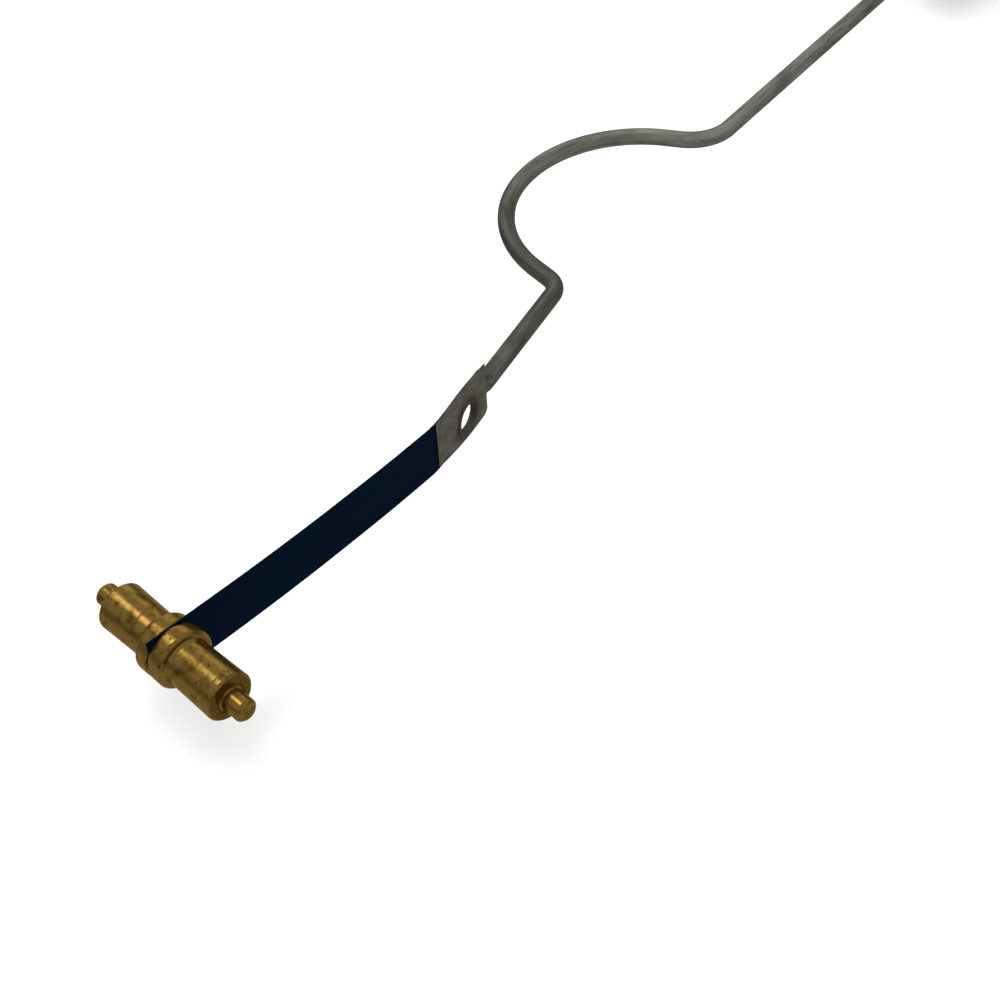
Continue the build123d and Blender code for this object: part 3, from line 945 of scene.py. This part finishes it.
def rivets():
    """Two rivets with low domed heads that hold the cup to the flange."""
    shank_r, head_r, head_t, edge_t, top_r = 1.0, 1.9, 0.6, 0.1, 0.3
    low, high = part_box("retainer_rivets")
    spacing = (high.y - low.y) / MM - 2 * head_r
    start, head_start = low.x / MM, high.x / MM - head_t
    corners = [
        (start, axis_gap, 0), (start, shank_r, 0.1),
        (head_start, shank_r, 0.02), (head_start, head_r, 0.05),
    ]
    dome_start, dome_t, dome_r = head_start + edge_t, head_t - edge_t, head_r - top_r
    turns = np.radians(np.linspace(0, 90, 10))
    dome = [(dome_start + dome_t * sin(t), top_r + dome_r * cos(t)) for t in turns]
    outline = np.vstack([rounded(corners), dome, [(head_start + head_t, axis_gap)]])
    for name, side, nodes in (("left", 1, ["retainer_rivets"]), ("right", -1, [])):
        mesh = turned("rivet", outline, origin=np.array([0, side * spacing / 2, 0]), around=48)
        piece(f"{name}_retainer_rivet", mesh, "probe_body", rivet_steel, nodes)


rivets()

# ---------------------------------------------------------------- terminal
stud_start, stud_end = span("terminal_stud")
thread_start = span("terminal_nut")[0]
stud_r = 1.95
stud_collar_r = 3.4
pitch = 0.7
thread_depth = 0.38
thread_steps = 9
thread_clearance = 0.05
tip_chamfer = 0.5


def threaded(along, radius, angle):
    """A right-hand V thread cut into the stud, fading out at its shoulder."""
    if along <= thread_start or radius > stud_r:
        return radius
    turn = (along / pitch - angle / (2 * pi)) % 1
    groove = np.clip(1.3 * (1 - abs(2 * turn - 1)) - 0.15, 0, 1)
    fade = min(1, (along - thread_start) / pitch)
    return min(radius, stud_r - thread_depth * groove * fade)


def terminal_stud():
    """Brass stud with a collar cemented to the insulator's end, threaded to its chamfered tip."""
    collar = rounded([
        (stud_start, axis_gap, 0), (stud_start, stud_collar_r, 0.2), (thread_start, stud_collar_r, 0.35),
        (thread_start, stud_r + 0.05, 0.05), (thread_start + 0.05, stud_r, 0),
    ])
    tip_start = (stud_end - tip_chamfer, stud_r)
    step = pitch / thread_steps
    shank = divided(np.array([(thread_start + 0.06, stud_r), tip_start]), step)
    tip = divided(np.array([tip_start, (stud_end, stud_r - tip_chamfer)]), step)[1:]
    outline = np.vstack([collar, shank, tip, [(stud_end, axis_gap)]])
    mesh = turned("stud", outline, around=72, shape=threaded)
    piece("threaded_terminal_stud", mesh, "probe_body", stud_brass, ["terminal_stud"], sharp=50)


def terminal_nut():
    """Plain hexagon nut, chamfered on both faces."""
    start, end = span("terminal_nut")
    flats = 7.0
    corner_r = flats / 2 / cos(pi / 6)
    chamfer = 0.25

    def hexagon(along, radius, angle):
        """Distance of the hexagon from the axis, less the chamfer near both faces."""
        if radius < flats / 2 - 0.01:
            return radius
        face_angle = (angle + pi / 6) % (pi / 3) - pi / 6
        flat = flats / 2 / cos(face_angle)
        depth = min(along - start, end - along)
        return min(flat, flats / 2 - 0.05 + depth / tan(radians(30)), corner_r - 0.04)

    flank = divided(np.array([(start, flats / 2), (end, flats / 2)]), 0.08)
    bore = [
        (end, stud_r + chamfer), (end - chamfer, stud_r),
        (start + chamfer, stud_r), (start, stud_r + chamfer),
    ]
    mesh = turned("nut", np.vstack([flank, bore]), closed=True, around=120, shape=hexagon)
    piece("hexagon_terminal_nut", mesh, "probe_body", nut_steel, ["terminal_nut"], sharp=24)


def terminal_washer():
    """Punched washer: rounded on one face, square on the other."""
    start, end = span("terminal_washer")
    outer = reach("terminal_washer")
    inner = stud_r + thread_clearance
    corners = [(start, inner, 0.03), (start, outer, 0.05), (end, outer, 0.28), (end, inner, 0.12)]
    mesh = turned("washer", rounded(corners, closed=True), closed=True)
    piece("punched_terminal_washer", mesh, "clamp_washer", nut_steel, ["terminal_washer"])


def thumb_nut():
    """Knurled brass thumb nut with a plain boss against the washer."""
    start, end = span("thumb_nut")
    outer = reach("thumb_nut")
    boss_r = 3.2
    boss_end = start + 1.0
    knurls = 54
    knurl_depth = 0.22
    knurl_slope = 0.9
    knurl_sink = 0.02
    rim_ease = 0.25

    def knurled(along, radius, angle):
        """Crossed left and right grooves round the rim, fading out at both faces."""
        if radius < outer - 0.01:
            return radius
        lead = (along - boss_end) * knurl_slope / outer
        left = abs((knurls * (angle + lead) / (2 * pi)) % 1 - 0.5) * 2
        right = abs((knurls * (angle - lead) / (2 * pi)) % 1 - 0.5) * 2
        inside = min(along - boss_end - rim_ease, end - 0.55 - along)
        fade = np.clip(inside / 0.15, 0, 1)
        return radius - knurl_depth * fade * (1 - min(left, right)) - knurl_sink

    bore = stud_r + thread_clearance
    inner = rounded([
        (end, outer - 0.5, 0.1), (end, bore + 0.9, 0), (end - 0.35, bore + 0.75, 0.1),
        (end - 0.35, bore + 0.3, 0), (end - 0.6, bore, 0), (start + 0.3, bore, 0), (start, bore + 0.3, 0),
        (start, boss_r, 0.15), (boss_end, boss_r, 0.15), (boss_end, outer - 0.3, 0.1),
        (boss_end + rim_ease, outer, 0),
    ])
    band = divided(np.array([(boss_end + rim_ease, outer), (end - 0.5, outer)]), 0.1)[1:]
    mesh = turned("thumb", np.vstack([inner, band]), closed=True, around=432, shape=knurled)
    piece("knurled_thumb_nut", mesh, "clamp_nut", stud_brass, ["thumb_nut"], sharp=50)


terminal_stud()
terminal_nut()
terminal_washer()
thumb_nut()


# ---------------------------------------------------------------- floor, light and camera
stage_size = 12.0
stage_white = (1, 1, 1, 1)


def backdrop(name, mesh, colour, glow):
    """A piece of the studio, in a matt paint that glows white by a strength."""
    paint = bpy.data.materials.new(name + " paint")
    paint.use_nodes = True
    shader = paint.node_tree.nodes["Principled BSDF"]
    shader.inputs["Base Color"].default_value = colour
    shader.inputs["Roughness"].default_value = 0.9
    shader.inputs["Specular IOR Level"].default_value = 0.0
    shader.inputs["Emission Color"].default_value = stage_white
    shader.inputs["Emission Strength"].default_value = glow
    mesh.materials.append(paint)
    made = bpy.data.objects.new(name, mesh)
    bpy.context.scene.collection.objects.link(made)
    return made, paint.node_tree, shader


def floor():
    """Plain pale floor under the lowest point, evened out by a white glow far away."""
    near, far, glow = 0.6, 3.5, 0.9
    mesh = bpy.data.meshes.new("floor")
    z = cad_low.z - 0.1 * MM
    corners = [(x * stage_size, y * stage_size, z) for x, y in ((-1, -1), (1, -1), (1, 1), (-1, 1))]
    mesh.from_pydata(corners, [], [(0, 1, 2, 3)])
    made, tree, shader = backdrop("floor", mesh, (0.86, 0.86, 0.86, 1), 0.0)
    place = tree.nodes.new("ShaderNodeTexCoord")
    distance = tree.nodes.new("ShaderNodeVectorMath")
    distance.operation = "LENGTH"
    evened = tree.nodes.new("ShaderNodeMapRange")
    for socket, value in (("From Min", near), ("From Max", far), ("To Min", 0.0), ("To Max", glow)):
        evened.inputs[socket].default_value = value
    tree.links.new(place.outputs["Object"], distance.inputs[0])
    tree.links.new(distance.outputs["Value"], evened.inputs["Value"])
    tree.links.new(evened.outputs[0], shader.inputs["Emission Strength"])
    made.visible_glossy = False


def dome():
    """White dome round everything, which only the camera sees."""
    work = bmesh.new()
    bmesh.ops.create_uvsphere(work, u_segments=48, v_segments=24, radius=0.9 * stage_size)
    mesh = bpy.data.meshes.new("dome")
    work.to_mesh(mesh)
    work.free()
    made = backdrop("dome", mesh, (0, 0, 0, 1), 1.0)[0]
    for ray in ("diffuse", "glossy", "transmission", "volume_scatter", "shadow"):
        setattr(made, f"visible_{ray}", False)


def towards(direction):
    """Rotation of a lamp that stands in a direction from the object and shines back at it."""
    return Vector(direction).to_track_quat("Z", "Y")


def light():
    """Grey surroundings with a darker horizon, a broad overhead light, and two soft boxes."""
    world = bpy.data.worlds.new("studio")
    bpy.context.scene.world = world
    world.use_nodes = True
    nodes, links = world.node_tree.nodes, world.node_tree.links
    way = nodes.new("ShaderNodeTexCoord")
    parts = nodes.new("ShaderNodeSeparateXYZ")
    ramp = nodes.new("ShaderNodeValToRGB")
    height = nodes.new("ShaderNodeMapRange")
    height.inputs["From Min"].default_value = -1.0
    stops = ((0.40, 0.44), (0.47, 0.15), (0.58, 0.16), (0.72, 0.44))
    while len(ramp.color_ramp.elements) < len(stops):
        ramp.color_ramp.elements.new(0.5)
    for element, (position, grey) in zip(ramp.color_ramp.elements, stops):
        element.position = position
        element.color = (grey, grey, grey, 1)
    links.new(way.outputs["Generated"], parts.inputs[0])
    links.new(parts.outputs["Z"], height.inputs["Value"])
    links.new(height.outputs[0], ramp.inputs["Fac"])
    links.new(ramp.outputs["Color"], nodes["Background"].inputs["Color"])

    # name, direction from the head, distance, size, power, seen in reflections
    lamps = (
        ("overhead", (0.0, 0.0, 1.0), 3.0, 6.0, 213.0, False),
        ("key", (-0.02, 0.45, 0.89), 2.0, 0.65, 5.8, True),
        ("rim", (0.66, 0.66, 0.36), 3.0, 1.5, 4.0, True),
    )
    for name, direction, distance, size, power, seen in lamps:
        lamp = bpy.data.objects.new(name, bpy.data.lights.new(name, "AREA"))
        lamp.data.shape = "SQUARE"
        lamp.data.size = size
        lamp.data.energy = power
        lamp.visible_glossy = seen
        lamp.location = Vector(head * MM) + Vector(direction).normalized() * distance
        lamp.rotation_mode = "QUATERNION"
        lamp.rotation_quaternion = towards(direction)
        bpy.context.scene.collection.objects.link(lamp)


def camera():
    """Looks down the probe from beyond its sensing head."""
    place = Vector((-240.5, -94.35, 124.97)) * MM
    along, down, roll = radians(39.806), radians(45.41), radians(3.5)
    forward = Vector((cos(down) * cos(along), cos(down) * sin(along), -sin(down)))
    right = forward.cross(Vector(UP)).normalized()
    up = right.cross(forward)
    right, up = right * cos(roll) - up * sin(roll), right * sin(roll) + up * cos(roll)
    made = bpy.data.objects.new("camera", bpy.data.cameras.new("camera"))
    made.data.lens = 65.11
    made.data.sensor_width = 36.0
    made.data.clip_start = 0.005
    made.data.clip_end = 50.0
    made.matrix_world = Matrix.Translation(place) @ Matrix((right, up, -forward)).transposed().to_4x4()
    bpy.context.scene.collection.objects.link(made)
    bpy.context.scene.camera = made


floor()
dome()
light()
camera()
bpy.context.scene.view_settings.view_transform = "Standard"
